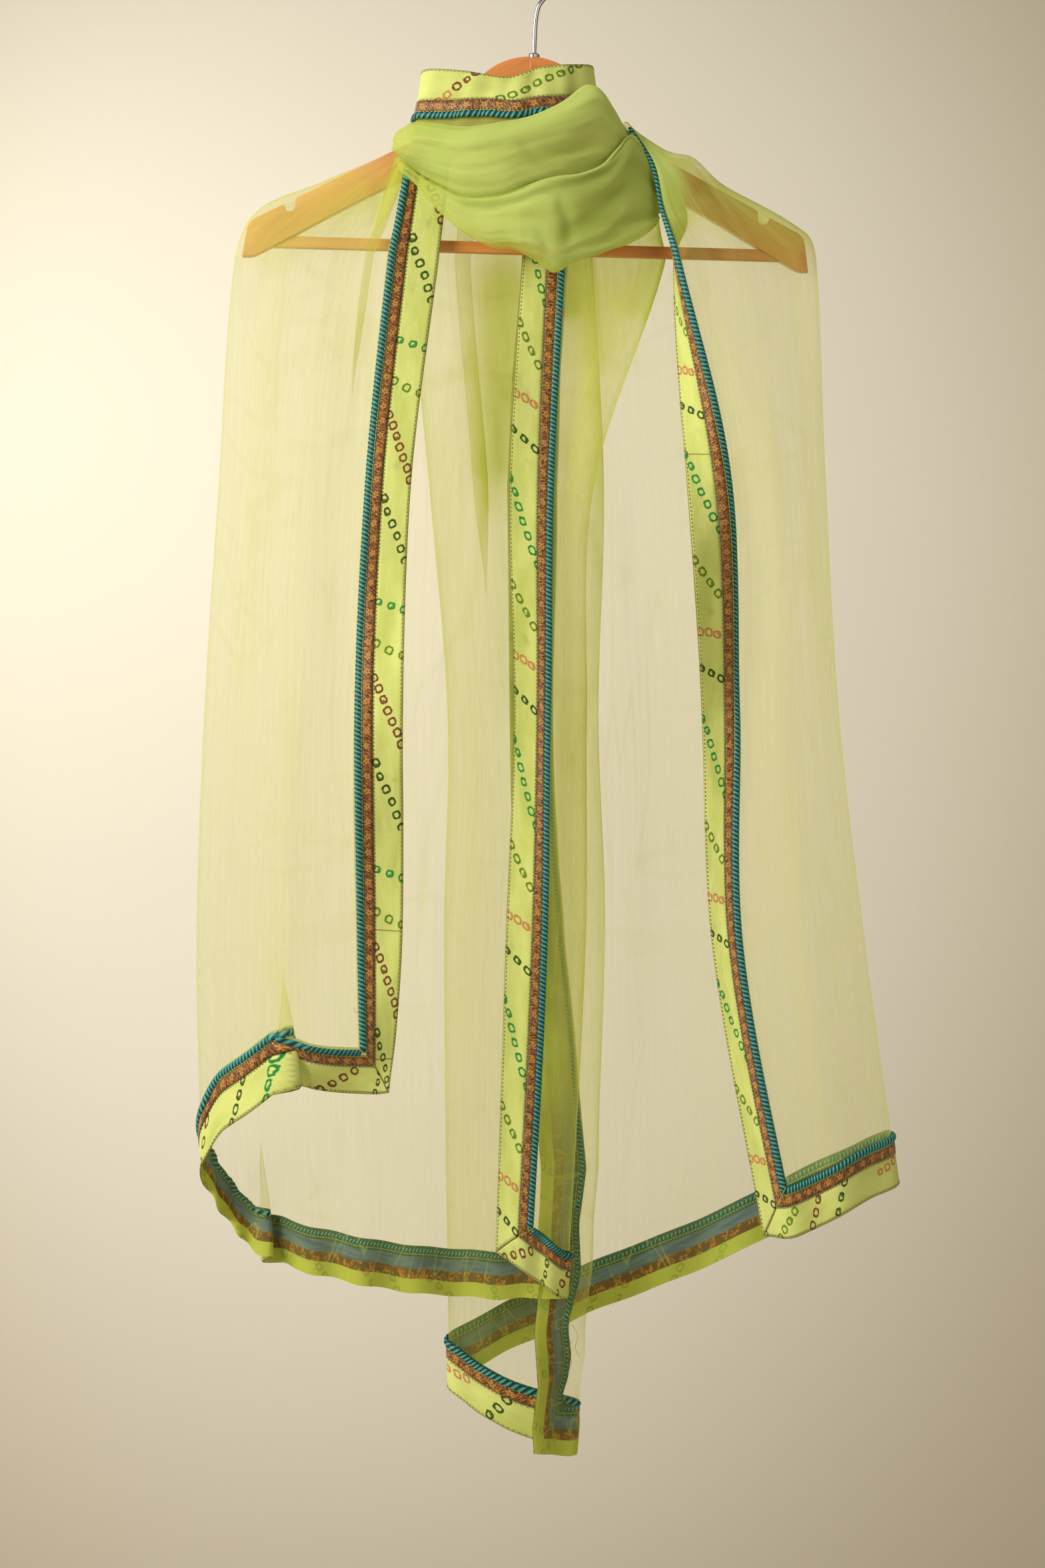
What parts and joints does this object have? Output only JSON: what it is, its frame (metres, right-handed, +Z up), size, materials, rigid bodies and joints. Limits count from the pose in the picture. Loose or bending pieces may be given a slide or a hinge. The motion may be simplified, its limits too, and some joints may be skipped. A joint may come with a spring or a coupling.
{
  "type": "dupatta stole on hanger",
  "caption": "Long sheer rectangular stole with a banded border, wound round the neck of a flat hanger and hanging in two open falls.",
  "frame": {"origin": "the inside of the top of the hook, where the hanger bears on what it hangs on", "axes": "+X to the right seen from the front, +Y from the front to the back, +Z up"},
  "size_m": [0.5515, 0.1516, 1.1936],
  "materials": {
    "organza": "sheer plain-woven silk organza, lime, soft sheen",
    "print": "smooth lime cotton satin with small tie-dye style rings in rows",
    "ribbon": "woven brown ribbon with small gold motifs",
    "piping": "twisted teal cord with a diagonal stripe",
    "wood": "clear-varnished pale hardwood, satin",
    "chrome": "bright plated wire"
  },
  "bodies": {
    "root": {"back_left_panel": "organza", "back_left_panel_hem_piping": "piping", "back_left_panel_hem_print": "print", "back_left_panel_hem_ribbon": "ribbon", "back_right_panel": "organza", "back_right_panel_hem_piping": "piping", "back_right_panel_hem_print": "print", "back_right_panel_hem_ribbon": "ribbon", "centre_flap": "organza", "centre_flap_edge_piping": "piping", "centre_flap_edge_print": "print", "centre_flap_edge_ribbon": "ribbon", "centre_flap_hem_piping": "piping", "centre_flap_hem_print": "print", "centre_flap_hem_ribbon": "ribbon", "centre_panel": "organza", "centre_panel_hem_piping": "piping", "centre_panel_hem_print": "print", "centre_panel_hem_ribbon": "ribbon", "collar_stand": "organza", "collar_stand_piping": "piping", "collar_stand_print": "print", "collar_stand_ribbon": "ribbon", "front_left_panel": "organza", "front_left_panel_edge_piping": "piping", "front_left_panel_edge_print": "print", "front_left_panel_edge_ribbon": "ribbon", "front_left_panel_hem_piping": "piping", "front_left_panel_hem_print": "print", "front_left_panel_hem_ribbon": "ribbon", "front_right_panel": "organza", "front_right_panel_edge_piping": "piping", "front_right_panel_edge_print": "print", "front_right_panel_edge_ribbon": "ribbon", "front_right_panel_hem_piping": "piping", "front_right_panel_hem_print": "print", "front_right_panel_hem_ribbon": "ribbon", "hanger_arm_left": "wood", "hanger_arm_right": "wood", "hook": "chrome", "hook_ferrule": "chrome", "last_flap": "organza", "last_flap_edge_piping": "piping", "last_flap_edge_print": "print", "last_flap_edge_ribbon": "ribbon", "last_flap_hem_piping": "piping", "last_flap_hem_print": "print", "last_flap_hem_ribbon": "ribbon", "neck_back": "organza", "neck_back_piping": "piping", "neck_back_print": "print", "neck_back_ribbon": "ribbon", "swag_lower": "organza", "swag_upper": "organza", "trouser_bar": "wood"}
  },
  "joints": []
}
